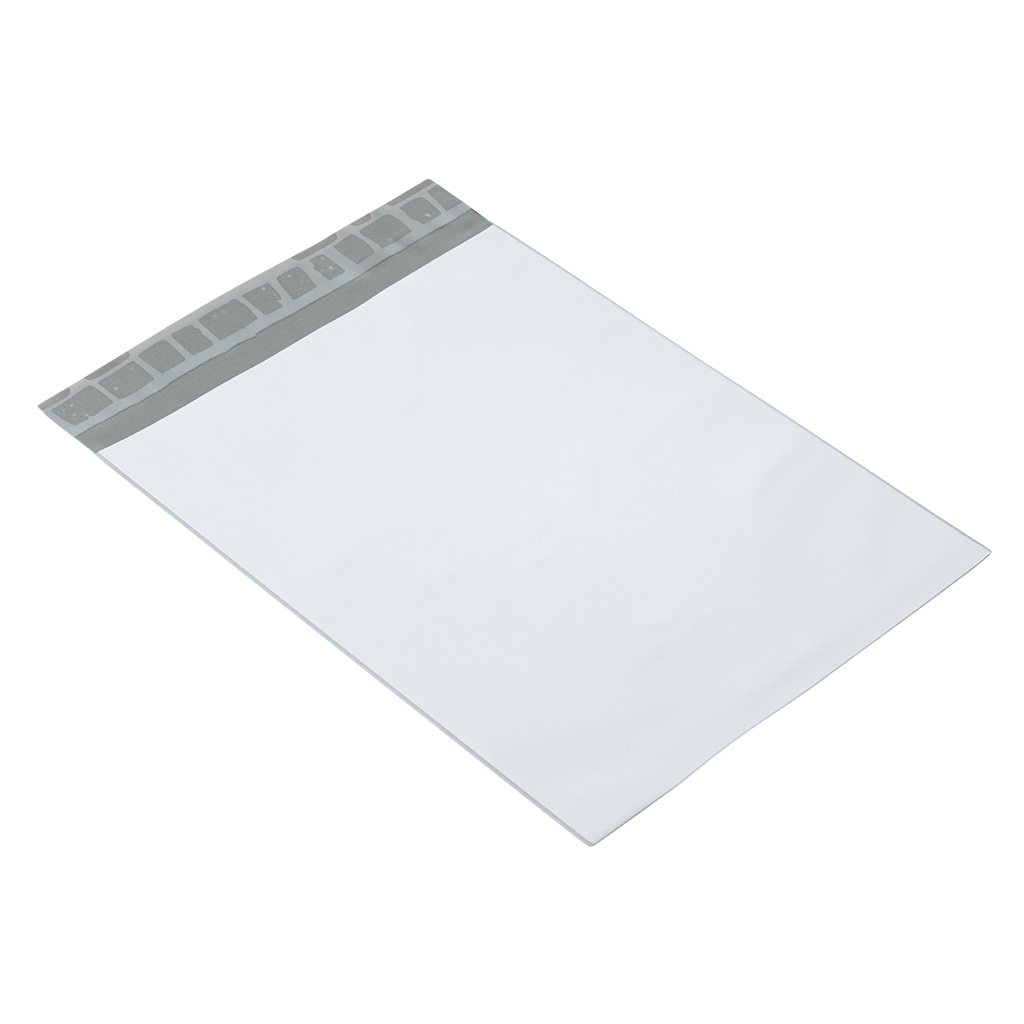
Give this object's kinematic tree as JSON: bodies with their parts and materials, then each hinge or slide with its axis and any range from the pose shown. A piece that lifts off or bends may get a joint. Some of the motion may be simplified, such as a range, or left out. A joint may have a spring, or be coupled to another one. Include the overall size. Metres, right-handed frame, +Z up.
{
  "type": "poly mailer bag",
  "caption": "Flat self-seal mailing bag of white film, grey inside, folded at the bottom and welded down both sides, with a peel-off liner over the glue on its open flap.",
  "frame": {"origin": "on the surface that the bag lies on, under the middle of it", "axes": "+Y from the bottom fold to the flap, +X to the right seen from above, +Z up out of the front panel"},
  "size_m": [0.254, 0.38, 0.002],
  "materials": {
    "film": "satin white film outside, satin grey inside",
    "glue": "clear tacky glue over grey film",
    "liner": "thin translucent siliconised film"
  },
  "bodies": {
    "root": {"bag_film": "film", "adhesive_strip": "glue", "release_liner": "liner"}
  },
  "joints": []
}
